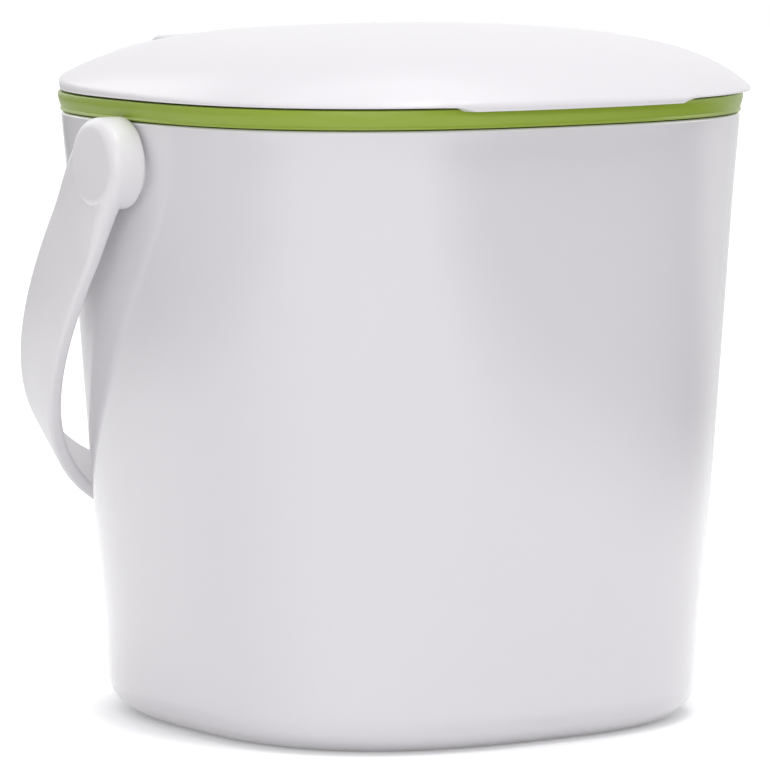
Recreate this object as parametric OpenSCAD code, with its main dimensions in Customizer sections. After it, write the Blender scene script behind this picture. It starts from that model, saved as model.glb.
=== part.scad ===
// Compost caddy: a tapered rounded-square bucket with a lift-off collar, a hinged domed lid
// and a swinging bail. Millimetres, Z up, front (finger lip) towards -Y, origin under the foot.

/* [Bucket] */
// Half the width across the flats at the seam under the collar
top_half = 82; // [65:0.5:100]
// Height of the seam between bucket and collar
seam_z = 157.5; // [125:0.5:190]
// Draft angle of the walls
draft = 4.1; // [2:0.05:5]
// Thickness of the bucket wall
wall = 2.4; // [1.8:0.1:3.2]
// Thickness of the floor
floor_t = 3; // [2.4:0.1:4.5]
// Radius of the bottom edge outside
foot_r = 10.2; // [6:0.2:13]
// Radius of the bottom edge inside, so that nothing lodges there
bowl_r = 18; // [12:0.5:24]
// How far the rim flares out at the seam
rim_flare = 0.3; // [0:0.1:1]
// Depth of the recess under the floor
recess = 1; // [0.6:0.1:1.4]

/* [Collar] */
// Visible height of the collar
collar_h = 4.9; // [4:0.1:7]
// How far the collar widens towards its top
collar_flare = 0.7; // [0:0.1:1]
// Depth of the skirt inside the bucket
skirt_d = 8.5; // [7:0.5:12]
// Thickness of the skirt
skirt_t = 1.6; // [1.2:0.1:2.2]
// Gap at the seam between bucket and collar
seam_gap = 0.3; // [0.2:0.05:0.5]

/* [Lid] */
// Gap between collar and lid edge
lid_gap = 0.5; // [0.3:0.1:1]
// Thickness of the lid shell
lid_t = 2.2; // [1.6:0.1:2.6]
// Height of the upright band round the lid's edge
band_h = 2.3; // [1.6:0.1:3.5]
// Rise of the dome above the band
dome_h = 13.4; // [9:0.2:18]
// Half the width of the finger lip
lip_half = 33; // [20:1:42]
// How far the finger lip stands out
lip_out = 1.7; // [1:0.1:2.5]
// How far the finger lip hangs down
lip_drop = 1; // [0.5:0.1:1.2]

/* [Hinge] */
// Radius of the hinge pin
pin_r = 1.5; // [1.2:0.05:1.8]
// Radius of the lid's hinge barrel
barrel_r = 5.4; // [5:0.1:5.7]
// Half the length of the hinge barrel
barrel_half = 23.5; // [21:0.5:28]
// Radius of the collar's knuckles
knuckle_r = 4; // [3.5:0.1:4.2]

/* [Handle] */
// Distance from the pivots to the outside of the grip
reach = 130; // [118:0.2:156]
// Width of the grip strip
grip_w = 19.6; // [18:0.1:26]
// Thickness of the strip
strip_t = 3.8; // [3.2:0.1:5]
// Radius of the pivot hubs
hub_r = 11.7; // [9.8:0.1:14]
// Height of the pivots below the seam
pivot_drop = 10.75; // [9:0.25:13]
// Radius of the pivot studs on the bucket
stud_r = 5; // [4:0.1:6]

/* [Hidden] */

run_gap = 0.06;         // radial running clearance of pins and studs
soft_gap = 0.4;         // room between a soft seal and what it seals on
seal_play = 0.05;       // room between a seal and its groove
turn_gap = 0.4;         // room beside pieces that turn past each other
rest_gap = 0.35;        // room between the resting handle and the wall
squareness = 2.6;       // exponent of the rounded-square plan at the rim
squareness_foot = 2.72; // exponent at the foot
squareness_mid = 2.1;   // exponent near the middle of the lid
flare_h = 9;            // height of the flared rim
$fn = 64;

// plan of the bucket
function smooth(t) = let(c = min(max(t, 0), 1)) c * c * (3 - 2 * c);
function plan_r(half, n, t) = half / pow(pow(abs(cos(t)), n) + pow(abs(sin(t)), n), 1 / n);
function line_half(z) = top_half - rim_flare - tan(draft) * (seam_z - z);
function out_half(z) = line_half(z) + rim_flare * smooth((z - seam_z + flare_h) / flare_h);
function in_half(z) = line_half(z) - wall;
function square_at(z) = squareness_foot + (squareness - squareness_foot) * z / seam_z;
function ring(half, z, n = squareness, sides = 96) =
    [for (i = [0:sides - 1]) let(t = 360 * i / sides, r = plan_r(half, n, t)) [r * cos(t), r * sin(t), z]];

// skin through a list of rings, each with the same number of points; a profile that runs
// up the outside and down the inside, with ends = true for flat end faces or false for a ring
module skin(rings, ends) {
    m = len(rings);
    k = len(rings[0]);
    last = ends ? m - 2 : m - 1;
    sides = [for (j = [0:last], i = [0:k - 1])
        let(n = (j + 1) % m, a = j * k + i, b = j * k + (i + 1) % k, c = n * k + i, d = n * k + (i + 1) % k)
        each [[a, c, d], [a, d, b]]];
    caps = ends ? [[for (i = [0:k - 1]) i], [for (i = [k - 1:-1:0]) (m - 1) * k + i]] : [];
    polyhedron(points = [for (r = rings) each r], faces = concat(sides, caps), convexity = 8);
}

// a YZ outline carried along X
module along_x(x0, x1) {
    translate([x0, 0, 0]) rotate([90, 0, 90]) linear_extrude(x1 - x0) children();
}

module rod_x(r, x0, x1, y, z) {
    translate([x0, y, z]) rotate([0, 90, 0]) cylinder(r = r, h = x1 - x0);
}

// a turned shape on the pivot axis; profile points are [radius, distance from the middle]
module turned_x(side, z, profile) {
    translate([0, 0, z]) rotate([0, side * 90, 0]) rotate_extrude() polygon(profile);
}

// ---- bucket ----
pivot_z = seam_z - pivot_drop;
boss_r = 9;                             // bosses that carry the studs
stud_embed = 0.6;                       // how far a stud's root starts inside the wall's inner face
hub_in = top_half + 0.6;                // inner face of the hubs
hub_out = hub_in + 9.4;                 // outer face of the hubs
boss_face = hub_in - turn_gap;
bore_end = hub_in + 6;                  // floor of the hubs' blind bores
stud_end = bore_end - turn_gap;
rim_r = 0.8;                            // rounding of the rim's outer edge
foot_in = 12;                           // width of the foot ring under the floor
foot_half = line_half(foot_r) - foot_r; // where the bottom edge starts to round
bowl_half = in_half(bowl_r + floor_t) - bowl_r;
dish = 0.6;                             // fall of the floor towards its middle
rim_z = seam_z - seam_gap;

module bucket_shell() {
    outer_edge = [for (a = [0:18:90]) [line_half(foot_r) - foot_r * (1 - sin(a)), foot_r * (1 - cos(a))]];
    inner_edge = [for (a = [90:-18:0]) [bowl_half + bowl_r * sin(a), floor_t + bowl_r * (1 - cos(a))]];
    profile = concat(
        [[foot_half - foot_in - 1, recess], [foot_half - foot_in, 0]],
        outer_edge,
        [for (z = [60, 105, 0]) let(h = z > 0 ? z * seam_z / 157.5 : seam_z - flare_h) [out_half(h), h]],
        [for (d = [flare_h / 2, rim_r + seam_gap]) [out_half(seam_z - d), seam_z - d]],
        [[out_half(seam_z) - rim_r * 0.3, rim_z - rim_r * 0.3], [out_half(seam_z) - rim_r, rim_z]],
        [[in_half(rim_z) + 0.5, rim_z], [in_half(rim_z), rim_z - 0.5]],
        [for (z = [105, 60]) let(h = z * seam_z / 157.5) [in_half(h), h]],
        inner_edge,
        [[bowl_half * 0.5, floor_t - dish * 0.7]]);
    color("white") skin([for (p = profile) ring(p[0], p[1], square_at(p[1]))], true);
}

module bucket() {
    root = in_half(pivot_z + boss_r) + stud_embed;
    color("white") {
        bucket_shell();
        for (side = [-1, 1])
            turned_x(side, pivot_z, [[0, root], [boss_r, root], [boss_r, boss_face], [stud_r, boss_face],
                                     [stud_r, stud_end - 0.6], [stud_r - 0.6, stud_end], [0, stud_end]]);
    }
}

// ---- collar ----
skirt_gap = 0.9;                        // room outside the skirt, which the collar's seal takes up
skirt_z = seam_z - skirt_d;
mouth_half = in_half(skirt_z) - skirt_gap - skirt_t;
collar_z = seam_z + collar_h;
cseal_z = seam_z - 5.5;                 // bottom of the collar's seal
cseal_h = 2.4;
groove_d = 0.7;                         // depth of both seal grooves
hinge_y = top_half + 2;
hinge_z = collar_z + lid_gap + 5.7;
lug_x0 = 10;                            // inner and outer faces of the collar's knuckles
lug_x1 = 16.5;
web_front = -140;                       // angle on the knuckle where its web starts
web_foot = seam_z + 2 - hinge_z;        // the web runs down into the collar

function skirt_half(z) = in_half(z) - skirt_gap;

module collar_ring() {
    brow = top_half + collar_flare;     // widest line, right under the eased top edge
    profile = [
        [top_half - 0.2, seam_z], [top_half + 0.2, seam_z + 0.35], [top_half, seam_z + 0.8],
        [brow, collar_z - 0.35], [brow - 0.35, collar_z],
        [mouth_half + 0.8, collar_z], [mouth_half, collar_z - 0.8],
        [mouth_half, skirt_z], [skirt_half(skirt_z) - 0.3, skirt_z],
        [skirt_half(skirt_z + 0.5), skirt_z + 0.5], [skirt_half(cseal_z), cseal_z],
        [skirt_half(cseal_z) - groove_d, cseal_z], [skirt_half(cseal_z) - groove_d, cseal_z + cseal_h],
        [skirt_half(cseal_z + cseal_h), cseal_z + cseal_h],
        [skirt_half(seam_z), seam_z]];
    skin([for (p = profile) ring(p[0], p[1])], false);
}

module collar() {
    color("yellowgreen") difference() {
        union() {
            collar_ring();
            for (side = [-1, 1])
                along_x(min(side * lug_x0, side * lug_x1), max(side * lug_x0, side * lug_x1))
                    translate([hinge_y, hinge_z]) {
                        circle(r = knuckle_r);
                        polygon([[0, 0], knuckle_r * [cos(web_front), sin(web_front)],
                                 [-5.4, web_foot], [-1.8, web_foot], [0, -knuckle_r]]);
                    }
        }
        rod_x(pin_r + 0.02, -lug_x1 - 1, lug_x1 + 1, hinge_y, hinge_z);
    }
}

module collar_seal() {
    z0 = cseal_z + seal_play;
    z1 = cseal_z + cseal_h - seal_play;
    root = skirt_half(cseal_z) - groove_d + seal_play;
    tip = in_half(z0) - soft_gap;
    color("dimgray") skin([
        ring(root, z0), ring(skirt_half(z0) + 0.1, z0), ring(tip, z0 + cseal_h * 0.35),
        ring(tip, z0 + cseal_h * 0.6), ring(skirt_half(z1) + 0.1, z1), ring(root, z1)],
        false);
}

module hinge_pin() {
    color("silver") rod_x(pin_r, 1 - barrel_half, barrel_half - 1, hinge_y, hinge_z);
}

// ---- lid ----
lid_z = collar_z + lid_gap;             // underside of the lid's edge
lid_shift = -2.2;                       // the lid sits forward of the bucket's middle
crest_half = top_half + 1.4;            // half-width of the lid at its widest line
edge_half = crest_half - 0.15;          // half-width at the underside of the edge
lip_ramp = 4;                           // length of the ramp at each end of the lip
dome_power = 4.1;
dome_round = 0.885;
slot_r = knuckle_r + 0.35;

function dome_z(rho) = lid_z + band_h + dome_h * pow(1 - pow(rho, dome_power), dome_round);
function dome_square(rho) = squareness_mid + (squareness - squareness_mid) * rho;
// 1 along the finger lip, 0 elsewhere
function lip_at(p) = p[1] < 0 ? smooth((lip_half + lip_ramp / 2 - abs(p[0])) / lip_ramp) : 0;
// ring moved by the shift, with the lip drawn out and down where it runs
function lid_ring(half, z, n, out, drop) =
    [for (p = ring(half, z, n, 120)) let(w = lip_at(p)) [p[0], p[1] + lid_shift - out * w, z - drop * w]];

module lid_shell() {
    outer_rho = [0.97, 0.93, 0.88, 0.82, 0.75, 0.66, 0.55, 0.42, 0.28, 0.14];
    inner_rho = [0.16, 0.4, 0.6, 0.75, 0.86, 0.92, 0.955, 0.98, 1];
    inner_half = crest_half - lid_t;
    rings = concat(
        [lid_ring(edge_half - lid_t + 0.1, lid_z, squareness, 0.5, lip_drop)],
        [lid_ring(edge_half, lid_z, squareness, lip_out - 0.1, lip_drop)],
        [lid_ring(crest_half, lid_z + band_h * 0.65, squareness, lip_out, lip_drop * 0.6)],
        [lid_ring(crest_half - 0.3, lid_z + band_h, squareness, lip_out * 0.85, lip_drop * 0.3)],
        [for (r = outer_rho)
            lid_ring(crest_half * r, dome_z(r), dome_square(r), lip_out * max(1 - (1 - r) * 9, 0), 0)],
        [for (r = inner_rho) lid_ring(inner_half * r, dome_z(r) - lid_t, dome_square(r), 0, 0)]);
    // the first ring closes on the last inner one, and the middle of the dome is capped on both sides
    k = len(rings[0]);
    m = len(rings);
    crown = m - len(inner_rho) - 1;     // index of the outer face's last ring
    faces = concat(
        [for (j = [0:m - 1], i = [0:k - 1]) if (j != crown)
            let(n = (j + 1) % m, e = (i + 1) % k, a = j * k + i, b = j * k + e, c = n * k + i, d = n * k + e)
            each [[a, c, d], [a, d, b]]],
        [[for (i = [k - 1:-1:0]) crown * k + i]],
        [[for (i = [0:k - 1]) (crown + 1) * k + i]]);
    polyhedron(points = [for (r = rings) each r], faces = faces, convexity = 8);
}

// wedge that carries the hinge barrel's top level into the dome
module saddle() {
    rhos = [0.7, 0.76, 0.82, 0.88, 0.93, 0.975];
    along_x(-barrel_half, barrel_half)
        polygon(concat(
            [for (r = rhos) [crest_half * r + lid_shift, dome_z(r) - 1]],
            [[hinge_y, hinge_z], [hinge_y, hinge_z + barrel_r],
             [crest_half * 0.7 + lid_shift, max(dome_z(0.7) - 0.2, hinge_z + barrel_r)]]));
}

// room for one knuckle of the collar and for its web as the lid swings round it
module knuckle_slot(side) {
    x0 = side * (lug_x0 - turn_gap);
    x1 = side * (lug_x1 + turn_gap);
    along_x(min(x0, x1), max(x0, x1)) translate([hinge_y, hinge_z]) {
        circle(r = slot_r);
        polygon(concat([[0, 0]], [for (a = [web_front - 6:29:28]) 11 * [cos(a), sin(a)]]));
    }
}

module lid() {
    color("whitesmoke") difference() {
        union() {
            lid_shell();
            saddle();
            rod_x(barrel_r, -barrel_half, barrel_half, hinge_y, hinge_z);
        }
        for (side = [-1, 1]) knuckle_slot(side);
        rod_x(pin_r + run_gap, 0.8 - barrel_half, barrel_half - 0.8, hinge_y, hinge_z);
    }
}

plug_half = mouth_half - 1.6;
plug_z = lid_z - 3.9;
lseal_z = plug_z + 1.1;
lseal_h = 2;
flange_z = lid_z + 0.3;
flange_t = 1.6;
flange_gap = 0.5;                       // room between the flange's top edge and the dome above it
// share of the dome's inside width at which the dome stands just above the flange
flange_rise = (flange_z + flange_t + flange_gap + lid_t - lid_z - band_h) / dome_h;
flange_rho = pow(1 - pow(flange_rise, 1 / dome_round), 1 / dome_power);
flange_half = (crest_half - lid_t) * flange_rho;

module lid_liner() {
    profile = [
        [plug_half * 0.5, lid_z + 0.1], [plug_half - 3, lid_z], [plug_half - 1.8, lid_z - 0.8],
        [plug_half - 1.6, plug_z], [plug_half - 0.4, plug_z], [plug_half, plug_z + 0.4],
        [plug_half, lseal_z], [plug_half - groove_d, lseal_z], [plug_half - groove_d, lseal_z + lseal_h],
        [plug_half, lseal_z + lseal_h], [plug_half, flange_z]];
    // the flange follows the dome's plan, forward of the plug
    flange = [
        [flange_half, flange_z], [flange_half, flange_z + flange_t - 0.5],
        [flange_half - 0.5, flange_z + flange_t], [plug_half * 0.5, flange_z + flange_t]];
    color("white") difference() {
        skin(concat(
            [for (p = profile) ring(p[0], p[1])],
            [for (p = flange) [for (q = ring(p[0], p[1], dome_square(flange_rho))) q + [0, lid_shift, 0]]]),
            true);
        translate([-lug_x1 - 1, hinge_y - 6.6, flange_z - 1]) cube([2 * lug_x1 + 2, 10, flange_t + 2]);
    }
}

module lid_seal() {
    z0 = lseal_z + seal_play;
    z1 = lseal_z + lseal_h - seal_play;
    root = plug_half - groove_d + seal_play;
    tip = mouth_half - soft_gap;
    color("gainsboro") skin([
        ring(root, z0), ring(plug_half + 0.2, z0), ring(tip, z0 + lseal_h * 0.35),
        ring(tip, z0 + lseal_h * 0.6), ring(plug_half + 0.2, z1), ring(root, z1)],
        false);
}

// ---- handle ----
arm_out = hub_out - 2.75;               // outside of the arms at the hubs
hub_w = hub_r * 2 - 1;                  // width of the strip where it leaves a hub
arm_power = 2.47;                       // the bail's outline is a stretched rounded square
grip_power = 3.03;
bail_steps = 44;
hub_round = 3;                          // rounding of the hubs' outer edge
root_rise = 2.3;                        // how much thicker the strip is where it meets a hub
root_len = 27;                          // distance from a pivot over which it thins to strip_t
root_seat = 0.03;                       // a hair between the bail's roots and the hubs' rims

// the bail hangs until the lower edge of its grip meets the back wall
arm_in = reach - strip_t;
swing_a = arm_in + tan(draft) * grip_w / 2;
swing_b = tan(draft) * arm_in - grip_w / 2;
swing_c = line_half(0) + rest_gap + tan(draft) * pivot_z;
hang = asin(swing_c / norm([swing_a, swing_b])) - atan2(swing_b, swing_a);

function bail_angle(i) =
    let(t = 90 * pow(1 - abs(1 - 2 * i / bail_steps), 1.5)) i <= bail_steps / 2 ? t : 180 - t;
function bail_point(i) = let(t = bail_angle(i), c = cos(t), s = sin(t))
    [-arm_out * sign(c) * pow(abs(c), 2 / arm_power), reach * pow(abs(s), 2 / grip_power)];
function bail_dir(i) = i == 0 ? [0, 1] : i == bail_steps ? [0, -1] :
    let(d = bail_point(i + 1) - bail_point(i - 1)) d / norm(d);
// section across the strip: [depth from its usual outer face, place across the width]
function strip_section(w, rise) = let(r = 1.3, h = w / 2) [
    [strip_t - r, h], [strip_t - r * 0.3, h - r * 0.3], [strip_t, h - r], [strip_t, r - h],
    [strip_t - r * 0.3, r * 0.3 - h], [strip_t - r, -h], [r - rise, -h], [r * 0.3 - rise, r * 0.3 - h],
    [-rise, r - h], [-rise, h - r], [r * 0.3 - rise, h - r * 0.3], [r - rise, h]];
function bail_ring(i) =
    let(p = bail_point(i), d = bail_dir(i), w = hub_w + (grip_w - hub_w) * smooth(p[1] / reach),
        rise = root_rise * (1 - smooth((p[1] - 5) / (root_len - 5))))
    [for (q = strip_section(w, rise)) [p[0] + d[1] * q[0], q[1], -p[1] + d[0] * q[0]]];

// a hub's rounded outer edge, grown by a hair where it cuts the bail
function hub_edge(grow) = [for (a = [0:15:90])
    [hub_r - hub_round * (1 - cos(a)) + grow, hub_out - hub_round * (1 - sin(a)) + grow]];

// the bail, its roots cupped to stand on the hubs
module handle() {
    color("white") difference() {
        translate([0, 0, pivot_z]) rotate([hang, 0, 0])
            skin([for (i = [0:bail_steps]) bail_ring(i)], true);
        for (side = [-1, 1])
            turned_x(side, pivot_z, concat(
                [[0, hub_in], [hub_r + root_seat, hub_in]], hub_edge(root_seat), [[0, hub_out + root_seat]]));
    }
}

// closed outside, with a blind bore for the bucket's stud
module hub(side) {
    bore = stud_r + run_gap;
    color("white") difference() {
        turned_x(side, pivot_z, concat(
            [[0, hub_in], [hub_r - 0.8, hub_in], [hub_r, hub_in + 0.8]], hub_edge(0), [[0, hub_out]]));
        turned_x(side, pivot_z, [[0, hub_in - 1], [bore, hub_in - 1], [bore, bore_end], [0, bore_end]]);
    }
}

module left_hub() { hub(-1); }
module right_hub() { hub(1); }

bucket();
collar();
collar_seal();
hinge_pin();
lid();
lid_liner();
lid_seal();
handle();
left_hub();
right_hub();
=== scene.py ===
import math

import bmesh
import bpy
from mathutils import Matrix, Vector


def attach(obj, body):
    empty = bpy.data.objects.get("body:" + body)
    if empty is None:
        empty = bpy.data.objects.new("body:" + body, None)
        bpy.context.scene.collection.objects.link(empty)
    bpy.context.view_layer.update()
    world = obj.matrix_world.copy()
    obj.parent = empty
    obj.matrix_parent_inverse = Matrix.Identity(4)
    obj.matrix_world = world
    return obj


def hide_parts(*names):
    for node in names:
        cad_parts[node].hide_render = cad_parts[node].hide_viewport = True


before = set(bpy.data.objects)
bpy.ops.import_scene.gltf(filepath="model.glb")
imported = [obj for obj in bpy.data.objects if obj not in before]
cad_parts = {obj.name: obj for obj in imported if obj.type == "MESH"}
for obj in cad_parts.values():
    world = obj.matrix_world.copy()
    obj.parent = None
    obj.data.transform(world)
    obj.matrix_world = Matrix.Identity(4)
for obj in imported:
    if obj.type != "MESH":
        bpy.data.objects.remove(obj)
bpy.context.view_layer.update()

mm = 0.001
aroundSteps = 256      # stations round the bucket, the collar and the lid
rodSteps = 48          # round the hinge pin and its bores


# mesh helpers: a profile is a list of (radius, height), an outline one of (y, z)
def spaced(first, last, count):      # evenly spaced values, both ends among them
    return [first + (last - first) * i / count for i in range(count + 1)]


def arc(x, z, radius, start, stop, steps=8):      # points on a round edge, angles in degrees
    angles = [math.radians(angle) for angle in spaced(start, stop, steps)]
    return [(x + radius * math.cos(a), z + radius * math.sin(a)) for a in angles]


def smooth(t):
    t = min(max(t, 0), 1)
    return t * t * (3 - 2 * t)


def mix(a, b, t):
    return a + (b - a) * t


def planFactor(angle, power):      # how far a rounded square lies outside its inner circle
    return (abs(math.cos(angle)) ** power + abs(math.sin(angle)) ** power) ** (-1 / power)


def turned(profile, closed=False, steps=aroundSteps):      # spins a profile round Z
    bm = bmesh.new()
    points = [p for i, p in enumerate(profile) if i == 0 or p != profile[i - 1]]
    verts = [bm.verts.new((radius, 0, z)) for radius, z in points]
    pairs = list(zip(verts, verts[1:])) + ([(verts[-1], verts[0])] if closed else [])
    edges = [bm.edges.new(pair) for pair in pairs if pair[0].co.x or pair[1].co.x]      # none along the axis
    bmesh.ops.spin(bm, geom=verts + edges, cent=(0, 0, 0), axis=(0, 0, 1), angle=2 * math.pi,
                   steps=steps, use_merge=True)
    bmesh.ops.remove_doubles(bm, verts=bm.verts, dist=1e-6)
    bmesh.ops.recalc_face_normals(bm, faces=bm.faces)
    return bm


def squareOff(bm, powerAt):      # moves a turned shape out to its rounded-square plan
    for v in bm.verts:
        radius = math.hypot(v.co.x, v.co.y)
        if radius > 1e-7:
            k = planFactor(math.atan2(v.co.y, v.co.x), powerAt(radius, v.co.z))
            v.co.x *= k
            v.co.y *= k
    return bm


def alongX(bm, y, z, side=1):      # lays a shape turned round Z along X, its top towards the given side
    place = Matrix.Translation((0, y, z)) @ Matrix.Rotation(side * math.pi / 2, 4, "Y")
    bmesh.ops.transform(bm, verts=bm.verts, matrix=place)
    return bm


def prism(outline, x0, x1, edgeRound=0, steps=3):      # carries an outline along X and rounds its two ends
    bm = bmesh.new()
    face = bm.faces.new([bm.verts.new((x0, y, z)) for y, z in outline])
    grown = bmesh.ops.extrude_face_region(bm, geom=[face])["geom"]
    far = [g for g in grown if isinstance(g, bmesh.types.BMVert)]
    bmesh.ops.translate(bm, verts=far, vec=(x1 - x0, 0, 0))
    bmesh.ops.recalc_face_normals(bm, faces=bm.faces)
    if edgeRound:
        rims = [e for e in bm.edges if abs(e.verts[0].co.x - e.verts[1].co.x) < 1e-7]
        bmesh.ops.bevel(bm, geom=rims, offset=edgeRound, affect="EDGES", segments=steps, profile=0.5,
                        material=-1)
    return bm


def shade(piece, sharpAngle):      # smooth, but for edges that turn by more degrees than this
    piece.data.shade_smooth()
    piece.data.set_sharp_from_angle(angle=math.radians(sharpAngle))


def finished(bm, name, sharpAngle=32):
    mesh = bpy.data.meshes.new(name)
    bm.to_mesh(mesh)
    bm.free()
    piece = bpy.data.objects.new(name, mesh)
    bpy.context.scene.collection.objects.link(piece)
    shade(piece, sharpAngle)
    return piece


def carved(piece, tools, operation, sharpAngle):      # joins or cuts closed shapes, then drops the tools
    for tool in tools:
        step = piece.modifiers.new(operation, "BOOLEAN")
        step.operation = operation
        step.solver = "MANIFOLD"
        step.object = tool
    bpy.context.view_layer.update()
    result = bpy.data.meshes.new_from_object(piece.evaluated_get(bpy.context.evaluated_depsgraph_get()))
    piece.modifiers.clear()
    old = piece.data
    piece.data = result
    result.name = piece.name
    bpy.data.meshes.remove(old)
    for tool in tools:
        bpy.data.objects.remove(tool)
    shade(piece, sharpAngle)


# shader helpers
class Signal:      # an output socket whose sums and products add Math nodes
    def __init__(self, nodes, socket):
        self.nodes = nodes
        self.socket = socket

    def sum(self, operation, a, b):
        return self.nodes.node("Math", {"operation": operation}, {0: a, 1: b})

    def __add__(self, other):
        return self.sum("ADD", self, other)

    __radd__ = __add__

    def __sub__(self, other):
        return self.sum("SUBTRACT", self, other)

    def __rsub__(self, other):
        return self.sum("SUBTRACT", other, self)

    def __mul__(self, other):
        return self.sum("MULTIPLY", self, other)

    __rmul__ = __mul__


class Nodes:      # one node tree, emptied and built up again
    def __init__(self, tree):
        self.tree = tree
        self.tree.nodes.clear()

    def node(self, kind, settings=None, inputs=None, output=0):
        made = self.tree.nodes.new("ShaderNode" + kind)
        for key, value in (settings or {}).items():
            setattr(made, key, value)
        for key, value in (inputs or {}).items():
            if isinstance(value, Signal):
                self.tree.links.new(value.socket, made.inputs[key])
            else:
                made.inputs[key].default_value = value
        return Signal(self, made.outputs[output])

    def rays(self, kind):      # 1 for rays of this kind
        return self.node("LightPath", output=f"Is {kind} Ray")

    def close(self, kind, shader):
        out = self.tree.nodes.new("ShaderNodeOutput" + kind)
        self.tree.links.new(shader.socket, out.inputs["Surface"])


class Finish(Nodes):      # the nodes of a new material
    def __init__(self, name):
        self.material = bpy.data.materials.new(name)
        self.material.use_nodes = True
        super().__init__(self.material.node_tree)
        self.place = self.node("TexCoord", output="Object")

    def noise(self, scale, detail=2.0, stretch=(1, 1, 1)):      # scale in bumps per metre
        spot = self.node("Mapping", None, {"Vector": self.place, "Scale": stretch})
        return self.node("TexNoise", None, {"Vector": spot, "Scale": scale, "Detail": detail}, "Fac")

    def tint(self, factor, first, second):
        return self.node("Mix", {"data_type": "RGBA"}, {0: factor, 6: (*first, 1), 7: (*second, 1)}, 2)

    def between(self, factor, low, high):      # 0 below low, 1 above high
        return self.node("MapRange", {"interpolation_type": "SMOOTHSTEP"},
                         {"Value": factor, "From Min": low, "From Max": high})

    def bump(self, height, strength, depth):
        return self.node("Bump", None, {"Strength": strength, "Distance": depth, "Height": height})

    def ready(self, shader):
        self.close("Material", shader)
        return self.material


# finishes
rubMarks = [      # hairline rubs, upright and level: the noise, its stretch and how much of it shows
    dict(scale=260, detail=4, stretch=(1, 1, 0.06), low=0.56, high=0.72),
    dict(scale=180, detail=3, stretch=(0.07, 1, 1), low=0.58, high=0.74)]
plasticGrain = dict(driftScale=14, glossScale=90, detail=3, peelDepth=0.1 * mm, refraction=1.49,
                    coatRoughness=0.04)


def plastic(name, colour, drift, roughness, roughDrift, rubs, peel, peelScale, coat=0.0):      # moulded
    f = Finish(name)
    g = plasticGrain
    darker = [c * (1 - drift) for c in colour]
    lighter = [min(c * (1 + drift), 1) for c in colour]
    upright, level = [f.between(f.noise(r["scale"], r["detail"], r["stretch"]), r["low"], r["high"]) * 0.5
                      for r in rubMarks]
    gloss = f.noise(g["glossScale"], g["detail"]) * roughDrift + (roughness - roughDrift / 2)
    shader = f.node("BsdfPrincipled", None, {
        "Base Color": f.tint(f.noise(g["driftScale"], g["detail"]), darker, lighter),
        "Roughness": gloss + (upright + level) * rubs, "IOR": g["refraction"],
        "Coat Weight": coat, "Coat Roughness": g["coatRoughness"],
        "Normal": f.bump(f.noise(peelScale), peel, g["peelDepth"])})
    return f.ready(shader)


def rubber(name, colour, roughness):
    f = Finish(name)
    mottling = f.tint(f.noise(220, 4), colour, [c * 0.86 for c in colour])
    shader = f.node("BsdfPrincipled", None, {
        "Base Color": mottling, "Roughness": f.noise(300) * 0.12 + roughness, "Specular IOR Level": 0.35,
        "Normal": f.bump(f.noise(2600), 0.25, 0.05 * mm)})
    return f.ready(shader)


def drawnWire(name, colour, roughness):
    f = Finish(name)
    streaks = f.noise(2200, 3, (0.03, 1, 1))
    shader = f.node("BsdfPrincipled", None, {
        "Base Color": f.tint(streaks, colour, [c * 0.8 for c in colour]), "Metallic": 1.0,
        "Roughness": streaks * 0.15 + roughness, "Normal": f.bump(streaks, 0.2, 0.02 * mm)})
    return f.ready(shader)


finishes = dict(
    body=plastic("glossyWhite", (0.82, 0.805, 0.832), drift=0.005, roughness=0.12, roughDrift=0.02,
                 rubs=0.02, peel=0.01, peelScale=420, coat=0.7),
    lid=plastic("satinWhite", (0.87, 0.852, 0.88), drift=0.003, roughness=0.3, roughDrift=0.015,
                rubs=0.01, peel=0.004, peelScale=500),
    liner=plastic("linerWhite", (0.80, 0.80, 0.80), drift=0.01, roughness=0.36, roughDrift=0.05,
                  rubs=0.08, peel=0.04, peelScale=800),
    collar=plastic("leafGreen", (0.30, 0.425, 0.032), drift=0.015, roughness=0.28, roughDrift=0.02,
                   rubs=0.01, peel=0.006, peelScale=600),
    handle=plastic("handleWhite", (0.875, 0.862, 0.88), drift=0.004, roughness=0.3, roughDrift=0.02,
                   rubs=0.02, peel=0.008, peelScale=500),
    seal=rubber("paleRubber", (0.55, 0.56, 0.53), roughness=0.55),
    pin=drawnWire("drawnSteel", (0.62, 0.62, 0.61), roughness=0.3))


def dress(piece, finish, body, slot, *nodes):
    piece.data.materials.clear()
    piece.data.materials.append(finishes[finish])
    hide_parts(*nodes)
    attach(piece, body)
    print(piece.name, len(piece.data.polygons), "faces")


# bucket: halves are half widths across the flats, powers set how square the plan is
bucketSize = dict(
    topHalf=82 * mm, seam=157.5 * mm, draft=4.1, wall=2.4 * mm, floor=3 * mm, footRound=10.2 * mm,
    bowlRound=18 * mm, flare=0.3 * mm, flareHeight=26 * mm, recess=1 * mm, footWidth=12 * mm, dish=0.6 * mm,
    gate=2.2 * mm, gateDepth=0.35 * mm, seamGap=0.3 * mm, rimRound=0.8 * mm, rimInside=0.6 * mm,
    rimPower=2.6, footPower=2.72, sharpAngle=40)
hubSize = dict(      # the handle's hubs, and the bucket's studs on which they turn
    radius=11.7 * mm, round=3 * mm, backRound=0.8 * mm, wallGap=0.6 * mm, depth=9.4 * mm, boreDepth=6 * mm,
    boreGap=0.06 * mm, bossRadius=9 * mm, studRadius=5 * mm, turnGap=0.4 * mm, drop=10.75 * mm, steps=128)
seamZ = bucketSize["seam"]
pivotZ = seamZ - hubSize["drop"]
hubInner = bucketSize["topHalf"] + hubSize["wallGap"]
hubOuter = hubInner + hubSize["depth"]
boreEnd = hubInner + hubSize["boreDepth"]


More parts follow.
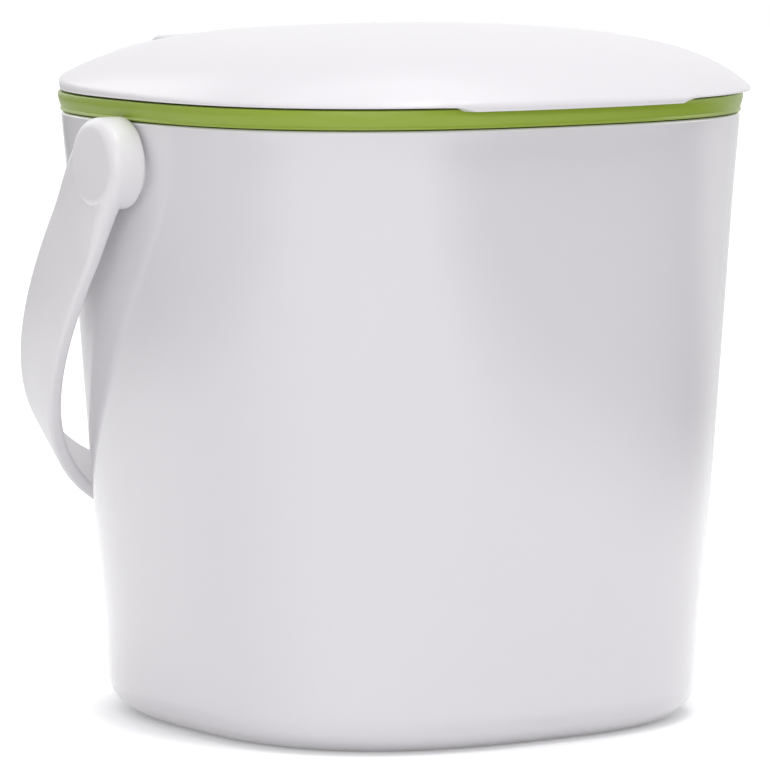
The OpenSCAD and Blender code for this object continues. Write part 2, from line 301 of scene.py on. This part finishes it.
def lineHalf(z):      # half width of the straight draft line of the wall
    b = bucketSize
    return b["topHalf"] - b["flare"] - math.tan(math.radians(b["draft"])) * (seamZ - z)


def outHalf(z):
    b = bucketSize
    return lineHalf(z) + b["flare"] * smooth((z - seamZ + b["flareHeight"]) / b["flareHeight"])


def inHalf(z):
    return lineHalf(z) - bucketSize["wall"]


def bucketPower(radius, z):
    return mix(bucketSize["footPower"], bucketSize["rimPower"], min(max(z / seamZ, 0), 1))


def bucketProfile():      # from the middle of the underside, up the wall and down to the middle of the floor
    b = bucketSize
    foot = b["footRound"]
    footHalf = lineHalf(foot) - foot
    ring = footHalf - b["footWidth"]      # inner edge of the flat ring it stands on
    recess = b["recess"]
    bowl = b["bowlRound"]
    bowlZ = bowl + b["floor"]
    bowlHalf = inHalf(bowlZ) - bowl
    rimZ = seamZ - b["seamGap"]
    edge = b["rimRound"]
    inside = b["rimInside"]
    profile = [(0, recess - b["gateDepth"]), (b["gate"], recess - b["gateDepth"]),
               (b["gate"] + 0.3 * mm, recess - 0.1 * mm), (b["gate"] + 3 * mm, recess),
               (ring - 1.4 * mm, recess), (ring - 0.3 * mm, 0.3 * mm), (ring, 0)]
    profile += arc(footHalf, foot, foot, -90, -b["draft"], 14)
    profile += [(outHalf(z), z) for z in spaced(foot, rimZ - edge, 40)[1:]]
    profile += arc(outHalf(rimZ) - edge, rimZ - edge, edge, 15, 90, 6)
    profile += arc(inHalf(rimZ) + inside, rimZ - inside, inside, 90, 180, 6)
    profile += [(inHalf(z), z) for z in spaced(rimZ - 2 * mm, bowlZ, 24)]
    profile += arc(bowlHalf, bowlZ, bowl, 0, -90, 14)[1:]
    return profile + [(bowlHalf * (1 - t), b["floor"] - b["dish"] * t ** 0.5) for t in spaced(0, 1, 6)[1:]]


def makeStud(side):      # a boss on the wall, and on it the stud that carries a hub
    h = hubSize
    root = inHalf(pivotZ + h["bossRadius"]) + 0.7 * mm
    face = hubInner - h["turnGap"]
    end = boreEnd - h["turnGap"]
    profile = [(0, root), (h["bossRadius"], root)]
    profile += arc(h["bossRadius"] - 0.4 * mm, face - 0.4 * mm, 0.4 * mm, 0, 90, 4)
    profile += arc(h["studRadius"] + 0.5 * mm, face + 0.5 * mm, 0.5 * mm, 270, 180, 4)
    profile += arc(h["studRadius"] - 0.6 * mm, end - 0.6 * mm, 0.6 * mm, 0, 90, 4) + [(0, end)]
    return finished(alongX(turned(profile, steps=96), 0, pivotZ, side), "stud")


def makeBucket():
    sharp = bucketSize["sharpAngle"]
    bucket = finished(squareOff(turned(bucketProfile()), bucketPower), "bucketShell", sharp)
    carved(bucket, [makeStud(side) for side in (-1, 1)], "UNION", sharp)
    dress(bucket, "body", "bucket", "body_plastic", "bucket")


# collar, with the lugs that hold the hinge pin
collarSize = dict(
    height=4.9 * mm, flare=0.7 * mm, skirtDepth=8.5 * mm, skirtThick=1.6 * mm, skirtGap=0.9 * mm,
    sealHeight=2.4 * mm, sealDrop=5.5 * mm, groove=0.7 * mm, bead=0.3 * mm, browRound=0.35 * mm,
    mouthRound=0.8 * mm, skirtRound=0.4 * mm, lugNear=10 * mm, lugFar=16.5 * mm, lugRound=0.3 * mm,
    knuckle=4 * mm, webFront=-140, pinRadius=1.5 * mm, pinHalf=22.5 * mm, pinChamfer=0.3 * mm,
    pinGap=0.02 * mm, lidGap=0.5 * mm, hingeBack=2 * mm, hingeRise=5.7 * mm, sharpAngle=28)
collarTop = seamZ + collarSize["height"]
skirtZ = seamZ - collarSize["skirtDepth"]
sealZ = seamZ - collarSize["sealDrop"]
mouthHalf = inHalf(skirtZ) - collarSize["skirtGap"] - collarSize["skirtThick"]
lidZ = collarTop + collarSize["lidGap"]
hingeY = bucketSize["topHalf"] + collarSize["hingeBack"]
hingeZ = lidZ + collarSize["hingeRise"]


def skirtHalf(z):
    return inHalf(z) - collarSize["skirtGap"]


def rimPower(radius, z):
    return bucketSize["rimPower"]


def collarProfile():
    c = collarSize
    base = bucketSize["topHalf"]
    brow = base + c["flare"]
    profile = arc(base - 0.08 * mm, seamZ + c["bead"], c["bead"], 270, 390, 7)
    profile += [(base + 0.08 * mm, seamZ + 0.68 * mm), (base + 0.03 * mm, seamZ + 0.85 * mm),
                (base + 0.08 * mm, seamZ + 1.1 * mm), (base + 0.5 * mm, seamZ + 2.5 * mm),
                (brow - 0.1 * mm, seamZ + 3 * mm), (brow - 0.02 * mm, seamZ + 3.5 * mm)]
    r = c["browRound"]
    profile += arc(brow - r, collarTop - r, r, 0, 90, 6)
    r = c["mouthRound"]
    profile += arc(mouthHalf + r, collarTop - r, r, 90, 180, 6)
    r = c["skirtRound"]
    profile += arc(mouthHalf + r, skirtZ + r, r, 180, 270, 5)
    profile += arc(skirtHalf(skirtZ) - r, skirtZ + r, r, 270, 360, 5)
    top = sealZ + c["sealHeight"]
    profile += [(skirtHalf(sealZ), sealZ), (skirtHalf(sealZ) - c["groove"], sealZ),
                (skirtHalf(sealZ) - c["groove"], top), (skirtHalf(top), top)]
    return profile + [(skirtHalf(seamZ), seamZ - 0.3 * mm), (skirtHalf(seamZ) + 0.3 * mm, seamZ)]


def makeLug(side):      # a knuckle round the pin, on a web that rises from the collar
    c = collarSize
    outline = arc(hingeY, hingeZ, c["knuckle"], c["webFront"], c["webFront"] - 310, 30)
    outline += [(hingeY - 1.8 * mm, seamZ + 2 * mm), (hingeY - 5.4 * mm, seamZ + 2 * mm)]
    near, far = sorted((side * c["lugNear"], side * c["lugFar"]))
    return finished(prism(outline, near, far, c["lugRound"]), "lug")


def makeBore(radius, half):      # a round cutter on the hinge's axis
    profile = [(0, -half), (radius, -half), (radius, half), (0, half)]
    return finished(alongX(turned(profile, steps=rodSteps), hingeY, hingeZ), "bore")


def makeCollar():
    c = collarSize
    sharp = c["sharpAngle"]
    collar = finished(squareOff(turned(collarProfile(), closed=True), rimPower), "collarRing", sharp)
    carved(collar, [makeLug(side) for side in (-1, 1)], "UNION", sharp)
    carved(collar, [makeBore(c["pinRadius"] + c["pinGap"], 20 * mm)], "DIFFERENCE", sharp)
    dress(collar, "collar", "collar", "collar_plastic", "collar")


def makePin():
    radius = collarSize["pinRadius"]
    end = collarSize["pinHalf"]
    chamfer = collarSize["pinChamfer"]
    profile = [(0, -end), (radius - chamfer, -end), (radius, chamfer - end),
               (radius, end - chamfer), (radius - chamfer, end), (0, end)]
    pin = finished(alongX(turned(profile, steps=rodSteps), hingeY, hingeZ), "hingePin")
    dress(pin, "pin", "collar", "pin_steel", "hinge_pin")


# seals: rings with two soft fins that stand a little clear of the wall they would press on
sealSize = dict(finRound=0.32 * mm, finPlaces=(0.3, 0.72), finSpread=1.4, rootGap=0.05 * mm, wallGap=0.4 * mm,
                endGap=0.05 * mm, sharpAngle=50)


def makeSeal(name, groove, waist, wall, low, height, body, node):      # three radii, then where it stands
    s = sealSize
    fin = s["finRound"]
    root = groove + s["rootGap"]
    tip = wall - s["wallGap"]
    z0 = low + s["endGap"]
    z1 = low + height - s["endGap"]
    profile = [(root, z0), (waist, z0)]
    for place in s["finPlaces"]:
        z = mix(z0, z1, place)
        profile += [(waist, z - fin * s["finSpread"])] + arc(tip - fin, z, fin, -70, 70, 6)
        profile += [(waist, z + fin * s["finSpread"])]
    profile += [(waist, z1), (root, z1)]
    seal = finished(squareOff(turned(profile, closed=True), rimPower), name, s["sharpAngle"])
    dress(seal, "seal", body, "seal_rubber", node)


# lid: a low dome whose upright edge grows towards the back, with a finger lip along the front
lidSize = dict(
    crest=83.4 * mm, edge=83.25 * mm, shift=-2.2 * mm, thick=2.2 * mm, lift=2.3 * mm, rise=13.4 * mm,
    domePower=4.1, domeRound=0.885, midPower=2.1, bandFront=0.5 * mm, bandRise=2.2 * mm, bandReach=83 * mm,
    bandLength=128 * mm, lipHalf=33 * mm, lipStep=1.1 * mm, lipRamp=7 * mm, lipOut=1.7 * mm, lipDrop=1 * mm,
    lipFace=1.75 * mm, lipFade=9, blendPower=14, sharpAngle=38)
hingeSize = dict(      # the lid's barrel, the flat saddle over it and the slots for the collar's knuckles
    barrel=5.4 * mm, barrelHalf=23.5 * mm, edgeRound=0.9 * mm, endWall=0.8 * mm, boreGap=0.06 * mm,
    saddleStart=0.7, saddleSink=0.2 * mm, slotSide=0.4 * mm, slotGap=0.35 * mm,
    webReach=11 * mm, webLead=6, webSweep=174)


def domeHeight(rho):      # rho runs from 0 in the middle to 1 at the edge
    s = lidSize
    return lidZ + s["lift"] + s["rise"] * (1 - rho ** s["domePower"]) ** s["domeRound"]


def lidPower(rho):
    return mix(lidSize["midPower"], bucketSize["rimPower"], min(rho, 1))


def bandHeight(y):      # the upright edge grows from the front of the lid to its back
    s = lidSize
    return s["bandFront"] + s["bandRise"] * (max(y + s["bandReach"], 0) / s["bandLength"]) ** 2


def lidRings():      # each ring's half width, height, rho and kind, from the inside of the edge over the dome
    s = lidSize
    inner = s["crest"] - s["thick"]
    rings = [(s["edge"] - s["thick"] + 0.1 * mm, 0.3, 1, "edge"), (s["edge"] - 0.3 * mm, 1, 1, "edge")]
    rings += [(s["edge"] - 0.08 * mm, 0.04, 1, "band"), (s["edge"], 0.12, 1, "band"),
              (s["crest"] - 0.03 * mm, 0.45, 1, "band"), (s["crest"], 0.75, 1, "band")]
    rhos = [1 - 0.25 * mm / s["crest"], 0.992, 0.985, 0.975, 0.96, 0.94] + spaced(0.915, 0.04, 25)
    rings += [(s["crest"] * rho, domeHeight(rho), rho, "dome") for rho in rhos]
    rings += [(0, domeHeight(0), 0, "dome"), (0, domeHeight(0) - s["thick"], 0, "under")]
    return rings + [(inner * rho, domeHeight(rho) - s["thick"], rho, "under")
                    for rho in [0.1, 0.2, 0.3, 0.4, 0.5, 0.6, 0.68, 0.75, 0.81, 0.86, 0.9, 0.94, 0.97, 1]]


def shapeLid(bm, rings):      # the blank's height in whole millimetres tells which ring a point is on
    s = lidSize
    for v in bm.verts:
        half, z, rho, kind = rings[round(v.co.z / mm)]
        angle = math.atan2(v.co.y, v.co.x)
        r = half * planFactor(angle, lidPower(rho))
        x = r * math.cos(angle)
        y = r * math.sin(angle)
        front = y < 0
        out = smooth((s["lipHalf"] + s["lipRamp"] - abs(x)) / s["lipRamp"]) if front else 0
        fall = smooth((s["lipHalf"] + s["lipStep"] / 2 - abs(x)) / s["lipStep"]) if front else 0
        drop = s["lipDrop"] * fall
        level = mix(bandHeight(y), s["lipFace"] - s["lipDrop"], out)      # top of the upright edge
        if kind == "edge":      # z holds the share of the lip's reach
            y -= s["lipOut"] * out * z
            z = lidZ - drop
        elif kind == "band":      # z holds the share of the band's height
            y -= s["lipOut"] * out
            z = lidZ + mix(-drop, level, z)
        elif kind == "dome":
            y -= s["lipOut"] * out * max(1 - (1 - rho) * s["lipFade"], 0)
            z += (level - s["lift"]) * rho ** s["blendPower"]
        v.co = (x, y + s["shift"], z)
    bmesh.ops.recalc_face_normals(bm, faces=bm.faces)
    return bm


def makeBarrel():
    h = hingeSize
    end = h["barrelHalf"]
    edge = h["edgeRound"]
    profile = [(0, -end)] + arc(h["barrel"] - edge, edge - end, edge, 270, 360, 5)
    profile += arc(h["barrel"] - edge, end - edge, edge, 0, 90, 5) + [(0, end)]
    return finished(alongX(turned(profile, steps=96), hingeY, hingeZ), "barrel")


def makeSaddle():      # its underside runs inside the dome's shell, so many millimetres below the outer face
    h = hingeSize
    s = lidSize
    top = hingeZ + h["barrel"]
    startY = s["crest"] * h["saddleStart"] + s["shift"]
    startZ = max(domeHeight(h["saddleStart"]) - h["saddleSink"], top)
    depths = ((h["saddleStart"], 2.1), (0.76, 2), (0.82, 1.8), (0.88, 1.5), (0.93, 1), (0.975, 1))
    outline = [(s["crest"] * rho + s["shift"], domeHeight(rho) - depth * mm) for rho, depth in depths]
    outline += [(hingeY, hingeZ)]
    outline += [(mix(hingeY, startY, t), mix(top, startZ, t)) for t in (0, 0.1, 0.5, 0.75, 0.88, 1)]
    return finished(prism(outline, -h["barrelHalf"], h["barrelHalf"], h["edgeRound"], 4), "saddle")


def makeKnuckleSlot(side):      # room for a knuckle and its web as the lid swings round them
    c = collarSize
    h = hingeSize
    near, far = sorted((side * (c["lugNear"] - h["slotSide"]), side * (c["lugFar"] + h["slotSide"])))
    start = c["webFront"] - h["webLead"]      # wide on the web's side of the hinge, close round the knuckle
    turn = start + h["webSweep"]
    outline = arc(hingeY, hingeZ, h["webReach"], start, turn, 6)
    outline += arc(hingeY, hingeZ, c["knuckle"] + h["slotGap"], turn, start + 360, 20)
    return finished(prism(outline, near, far), "knuckleSlot")


def makeLid():
    sharp = lidSize["sharpAngle"]
    h = hingeSize
    rings = lidRings()
    blank = [(half, i * mm) for i, (half, z, rho, kind) in enumerate(rings)]      # one level for each ring
    lid = finished(shapeLid(turned(blank, closed=True), rings), "lidShell", sharp)
    carved(lid, [makeSaddle(), makeBarrel()], "UNION", sharp)
    bore = makeBore(collarSize["pinRadius"] + h["boreGap"], h["barrelHalf"] - h["endWall"])
    carved(lid, [makeKnuckleSlot(side) for side in (-1, 1)] + [bore], "DIFFERENCE", sharp)
    dress(lid, "lid", "lid", "lid_plastic", "lid")


# liner under the lid: a plug wall that carries the lid's seal, and a flange inside the dome
linerSize = dict(
    plugGap=1.6 * mm, plugDrop=3.9 * mm, plugRound=0.4 * mm, flangeUp=0.3 * mm,
    flangeThick=1.6 * mm, flangeGap=0.5 * mm, flangeRound=0.5 * mm, sealUp=1.1 * mm, sealHeight=2 * mm,
    groove=0.7 * mm, beadStart=0.3, beadEnd=0.32, roomHalf=17.5 * mm, roomFront=6.6 * mm, roomBack=4 * mm,
    roomDown=1 * mm, roomUp=3 * mm)
plugHalf = mouthHalf - linerSize["plugGap"]
plugZ = lidZ - linerSize["plugDrop"]
lidSealZ = plugZ + linerSize["sealUp"]
flangeZ = lidZ + linerSize["flangeUp"]
flangeTop = flangeZ + linerSize["flangeThick"]


def flangeRho():      # how far out the dome's inside still clears the flange
    s = lidSize
    rise = (flangeTop + linerSize["flangeGap"] + s["thick"] - lidZ - s["lift"]) / s["rise"]
    return (1 - rise ** (1 / s["domeRound"])) ** (1 / s["domePower"])


def linerPower(radius, z):      # the flange follows the dome, all the rest the bucket's rim
    if z > flangeZ - 0.01 * mm and radius > plugHalf:
        return lidPower(flangeRho())
    return bucketSize["rimPower"]


def linerProfile():
    n = linerSize
    flange = (lidSize["crest"] - lidSize["thick"]) * flangeRho()
    bead = plugHalf * n["beadStart"]      # a low bead round the middle of the underside
    beadEnd = plugHalf * n["beadEnd"]
    groove = plugHalf - n["groove"]
    sealTop = lidSealZ + n["sealHeight"]
    profile = [(0, lidZ + 0.1 * mm), (bead, lidZ + 0.1 * mm), (bead + 0.5 * mm, lidZ - 0.2 * mm),
               (beadEnd + 0.5 * mm, lidZ - 0.2 * mm), (beadEnd + 1 * mm, lidZ + 0.1 * mm),
               (plugHalf - 3 * mm, lidZ)]
    profile += arc(plugHalf - 2.6 * mm, lidZ - 0.8 * mm, 0.8 * mm, 90, 0, 4)
    profile += arc(plugHalf - 1.3 * mm, plugZ + 0.3 * mm, 0.3 * mm, 180, 270, 3)
    profile += arc(plugHalf - n["plugRound"], plugZ + n["plugRound"], n["plugRound"], 270, 360, 4)
    profile += [(plugHalf, lidSealZ), (groove, lidSealZ), (groove, sealTop), (plugHalf, sealTop),
                (plugHalf, flangeZ), (flange, flangeZ)]
    profile += arc(flange - n["flangeRound"], flangeTop - n["flangeRound"], n["flangeRound"], 0, 90, 4)
    return profile + [(plugHalf * 0.5, flangeTop), (0, flangeTop)]


def makeLiner():
    n = linerSize
    sharp = lidSize["sharpAngle"]
    bm = squareOff(turned(linerProfile()), linerPower)
    for v in bm.verts:      # the flange sits forward of the plug, as the dome does
        if v.co.z > flangeZ + 0.01 * mm or math.hypot(v.co.x, v.co.y) > plugHalf * 1.2:
            v.co.y += lidSize["shift"]
    liner = finished(bm, "linerPlate", sharp)
    front, back = hingeY - n["roomFront"], hingeY + n["roomBack"]
    under, over = flangeZ - n["roomDown"], flangeZ + n["roomUp"]
    outline = [(front, under), (back, under), (back, over), (front, over)]
    room = finished(prism(outline, -n["roomHalf"], n["roomHalf"]), "hingeRoom")
    carved(liner, [room], "DIFFERENCE", sharp)
    dress(liner, "liner", "lid", "liner_plastic", "lid_liner")


# handle: a flat strip bent into a bail, thicker and rounder where it runs into its hubs
handleSize = dict(
    reach=130 * mm, gripWidth=19.6 * mm, rootInset=0.4 * mm, thick=3.8 * mm, edgeRound=1.3 * mm,
    rootRound=2.9 * mm, rootRise=2.3 * mm, rootStart=5 * mm, rootEnd=27 * mm, armInset=2.75 * mm,
    armPower=2.47, gripPower=3.03, restGap=0.35 * mm, crowding=1.5, stations=132, segments=32,
    sharpAngle=30)


def hangAngle():      # the bail hangs until the lower edge of its grip meets the back wall
    h = handleSize
    slope = math.tan(math.radians(bucketSize["draft"]))
    arm = h["reach"] - h["thick"]
    a = arm + slope * h["gripWidth"] / 2
    b = slope * arm - h["gripWidth"] / 2
    c = lineHalf(0) + h["restGap"] + slope * pivotZ
    return math.asin(c / math.hypot(a, b)) - math.atan2(b, a)


def bailPoint(u):      # u runs from 0 at one hub to 1 at the other
    h = handleSize
    half = hubOuter - h["armInset"]
    near = (1 - abs(1 - 2 * u)) ** h["crowding"] * math.pi / 2      # points lie closer near the hubs
    angle = near if u <= 0.5 else math.pi - near
    c, s = math.cos(angle), math.sin(angle)
    return Vector((-half * math.copysign(abs(c) ** (2 / h["armPower"]), c),
                   h["reach"] * abs(s) ** (2 / h["gripPower"])))


def placeSection(verts, angleOf, i):      # puts the strip's section at station i
    h = handleSize
    n = h["stations"]
    p = bailPoint(i / n)
    if i == 0:
        d = Vector((0, 1))
    elif i == n:
        d = Vector((0, -1))
    else:
        d = (bailPoint((i + 1) / n) - bailPoint((i - 1) / n)).normalized()
    root = 1 - smooth((p.y - h["rootStart"]) / (h["rootEnd"] - h["rootStart"]))
    rise = h["rootRise"] * root
    depth = h["thick"] + rise
    width = mix(hubSize["radius"] * 2 - h["rootInset"], h["gripWidth"], smooth(p.y / h["reach"]))
    r = mix(h["edgeRound"], h["rootRound"], root)
    outward = Vector((-d.y, 0, -d.x))
    middle = Vector((p.x, 0, -p.y)) + outward * (rise - depth / 2)
    for v in verts:
        c, s = math.cos(v[angleOf]), math.sin(v[angleOf])
        v.co = middle + outward * (math.copysign(depth / 2 - r, c) + r * c)
        v.co.y = math.copysign(width / 2 - r, s) + r * s


def bailStrip():      # a rounded section extruded from station to station
    h = handleSize
    bm = bmesh.new()
    angleOf = bm.verts.layers.float.new("angle")
    made = bmesh.ops.create_circle(bm, cap_ends=True, segments=h["segments"], radius=h["edgeRound"])
    for v in made["verts"]:
        v[angleOf] = math.atan2(v.co.y, v.co.x) + math.pi / h["segments"]
    placeSection(made["verts"], angleOf, 0)
    end = list(bm.faces)
    for i in range(1, h["stations"] + 1):
        grown = bmesh.ops.extrude_face_region(bm, geom=end)["geom"]
        if i > 1:
            bmesh.ops.delete(bm, geom=end, context="FACES_ONLY")
        end = [g for g in grown if isinstance(g, bmesh.types.BMFace)]
        placeSection([g for g in grown if isinstance(g, bmesh.types.BMVert)], angleOf, i)
    bm.verts.layers.float.remove(angleOf)
    bmesh.ops.recalc_face_normals(bm, faces=bm.faces)
    return bm


def makeHub(side):
    h = hubSize
    back = h["backRound"]
    profile = [(0, hubInner)] + arc(h["radius"] - back, hubInner + back, back, 270, 360, 6)
    profile += arc(h["radius"] - h["round"], hubOuter - h["round"], h["round"], 0, 90, 10) + [(0, hubOuter)]
    return finished(alongX(turned(profile, steps=h["steps"]), 0, pivotZ, side), "hub")


def makeHubBore(side):
    radius = hubSize["studRadius"] + hubSize["boreGap"]
    profile = [(0, hubInner - 1 * mm), (radius, hubInner - 1 * mm), (radius, boreEnd), (0, boreEnd)]
    return finished(alongX(turned(profile, steps=hubSize["steps"]), 0, pivotZ, side), "hubBore")


def makeHandle():
    sharp = handleSize["sharpAngle"]
    bm = bailStrip()
    hang = Matrix.Translation((0, 0, pivotZ)) @ Matrix.Rotation(hangAngle(), 4, "X")
    bmesh.ops.transform(bm, verts=bm.verts, matrix=hang)
    handle = finished(bm, "bailHandle", sharp)
    carved(handle, [makeHub(side) for side in (-1, 1)], "UNION", sharp)
    carved(handle, [makeHubBore(side) for side in (-1, 1)], "DIFFERENCE", sharp)
    dress(handle, "handle", "handle", "handle_plastic", "handle", "left_hub", "right_hub")


# stage, lamps and camera
cameraSize = dict(azimuth=-32.37, distance=1.5830, height=0.2532, pitch=6.051, roll=-0.206, focal=6106,
                  frameWidth=770, offCentre=15)      # focal length and offset in pixels of the frame
stageSize = dict(
    floorHalf=3.0, floorColour=(0.86, 0.86, 0.865), floorGlow=0.72,
    paintedShadowGlow=0.22, paintedShadowStart=0.068, paintedShadowEnd=0.094,      # painted contact shadow: the floor's glow is less close to the caddy's foot
    glowFar=1.0, farStart=0.7, farEnd=2.2, mirrorShare=0.9,
    paintedReflectionLeft=-0.55, paintedReflectionRight=0.38, paintedReflectionEdge=0.14,      # painted dark reflections: where the floor darkens for reflections only, in metres
    paintedReflectionLevelLeft=0.45, paintedReflectionLevelRight=0.05,      # how bright the painted dark reflections are past these
    paintedReflectionLevelBehind=0.65, paintedReflectionBehindNear=0.1, paintedReflectionBehindFar=0.6,      # and how the painted dark reflection dims the floor behind the caddy
    ambient=0.25, ambientColour=(0.99, 0.965, 1, 1))


def floorFinish():      # matt, and bright for the camera and for reflections, with a painted contact shadow at the caddy's foot and painted dark reflections past its sides and behind
    s = stageSize
    f = Finish("paleFloor")
    heading = (0, 0, -math.radians(cameraSize["azimuth"]))      # turns Y away from the camera
    turn = f.node("Mapping", None, {"Vector": f.place, "Rotation": heading})
    across = f.node("SeparateXYZ", None, {"Vector": turn}, "X")
    away = f.node("SeparateXYZ", None, {"Vector": turn}, "Y")
    # painted dark reflections on the caddy: the floor is darker for glossy rays past its sides and behind
    pastLeft = 1 - f.between(across, s["paintedReflectionLeft"] - s["paintedReflectionEdge"], s["paintedReflectionLeft"] + s["paintedReflectionEdge"])
    pastRight = f.between(across, s["paintedReflectionRight"] - s["paintedReflectionEdge"], s["paintedReflectionRight"] + s["paintedReflectionEdge"])
    behind = f.between(away, s["paintedReflectionBehindNear"], s["paintedReflectionBehindFar"])
    leftShare = 1 - pastLeft * (1 - s["paintedReflectionLevelLeft"])
    rightShare = 1 - pastRight * (1 - s["paintedReflectionLevelRight"]) * (1 - behind)
    paintedReflectionShare = leftShare * rightShare * (1 - behind * (1 - s["paintedReflectionLevelBehind"]))
    glossy = f.rays("Glossy")
    lit = 1 - glossy * (1 - paintedReflectionShare)      # painted dark reflections: only reflections see the floor darken past its sides and behind the caddy
    seen = f.rays("Camera") + glossy * s["mirrorShare"] + f.rays("Transmission")
    distance = f.node("VectorMath", {"operation": "LENGTH"}, {0: f.place}, "Value")
    # painted contact shadow: the glow comes back past the caddy's foot
    glowPastPaintedShadow = f.between(distance, s["paintedShadowStart"], s["paintedShadowEnd"]) * (s["floorGlow"] - s["paintedShadowGlow"])
    farGlow = f.between(distance, s["farStart"], s["farEnd"]) * (s["glowFar"] - s["floorGlow"])
    matt = f.node("BsdfDiffuse", None, {"Color": f.tint(lit, (0, 0, 0), s["floorColour"])})
    glow = f.node("Emission", None, {
        "Color": (1, 1, 1, 1), "Strength": seen * lit * (s["paintedShadowGlow"] + glowPastPaintedShadow + farGlow)})
    return f.ready(f.node("AddShader", None, {0: matt, 1: glow}))


def makeFloor():
    bm = bmesh.new()
    bmesh.ops.create_grid(bm, x_segments=8, y_segments=8, size=stageSize["floorHalf"])
    floor = finished(bm, "floor")
    floor.data.materials.append(floorFinish())


def makeWorld():      # white where it is seen, and a plain soft light elsewhere
    world = bpy.data.worlds.new("studio")
    bpy.context.scene.world = world
    world.use_nodes = True
    sky = Nodes(world.node_tree)
    seen = sky.rays("Camera") + sky.rays("Glossy") + sky.rays("Transmission")
    s = stageSize
    lit = sky.node("Background", None, {"Color": s["ambientColour"], "Strength": s["ambient"]})
    white = sky.node("Background", None, {"Color": (1, 1, 1, 1)})
    sky.close("World", sky.node("MixShader", None, {0: seen, 1: lit, 2: white}))


aimHeight = 0.09      # the lamps point at the middle of the caddy
lamps = dict(      # azimuth, elevation, distance, width, height and watts; azimuths run as the camera's does
    topBox=(0, 89, 1.6, 1.6, 1.6, 10.4), leftBox=(-105, 14, 1.7, 1.5, 1.0, 1.2),
    middleKey=(-40, 20, 1.7, 0.8, 0.8, 3.0), rightKey=(12, 70, 1.7, 0.5, 0.5, 5.2),
    frontBox=(-36, 10, 1.7, 1.7, 1.0, 6.8), rightBox=(70, 22, 1.7, 1.0, 1.1, 4.8),
    backBox=(-165, 30, 1.7, 1.0, 1.0, 4.0))


def makeLamps():
    aim = Vector((0, 0, aimHeight))
    for name, (azimuth, elevation, distance, width, height, power) in lamps.items():
        a, e = math.radians(azimuth), math.radians(elevation)
        lamp = bpy.data.lights.new(name, "AREA")
        lamp.shape = "RECTANGLE"
        lamp.size = width
        lamp.size_y = height
        lamp.energy = power
        box = bpy.data.objects.new(name, lamp)
        away = Vector((math.sin(a) * math.cos(e), -math.cos(a) * math.cos(e), math.sin(e)))
        box.location = aim + distance * away
        box.rotation_euler = (aim - box.location).to_track_quat("-Z", "Y").to_euler()
        bpy.context.scene.collection.objects.link(box)


def makeCamera():
    c = cameraSize
    data = bpy.data.cameras.new("camera")
    data.sensor_width = 36
    data.lens = c["focal"] * data.sensor_width / c["frameWidth"]
    data.shift_x = -c["offCentre"] / c["frameWidth"]
    camera = bpy.data.objects.new("camera", data)
    azimuth = math.radians(c["azimuth"])
    camera.location = (math.sin(azimuth) * c["distance"], -math.cos(azimuth) * c["distance"], c["height"])
    turns = ((azimuth, "Z"), (math.radians(90 - c["pitch"]), "X"), (math.radians(c["roll"]), "Z"))
    spin, tilt, roll = [Matrix.Rotation(angle, 4, axis) for angle, axis in turns]
    camera.rotation_euler = (spin @ tilt @ roll).to_euler()
    bpy.context.scene.collection.objects.link(camera)
    bpy.context.scene.camera = camera


bpy.context.scene.view_settings.view_transform = "Standard"
makeCamera()
makeFloor()
makeWorld()
makeLamps()
print("camera and stage ready")
makeBucket()
makeCollar()
collarGroove = skirtHalf(sealZ) - collarSize["groove"]
makeSeal("collarSeal", collarGroove, skirtHalf(sealZ) - 0.1 * mm, inHalf(sealZ), sealZ,
         collarSize["sealHeight"], "collar", "collar_seal")
makePin()
makeLid()
makeLiner()
makeSeal("lidSeal", plugHalf - linerSize["groove"], plugHalf + 0.1 * mm, mouthHalf, lidSealZ,
         linerSize["sealHeight"], "lid", "lid_seal")
makeHandle()
print("pieces ready")
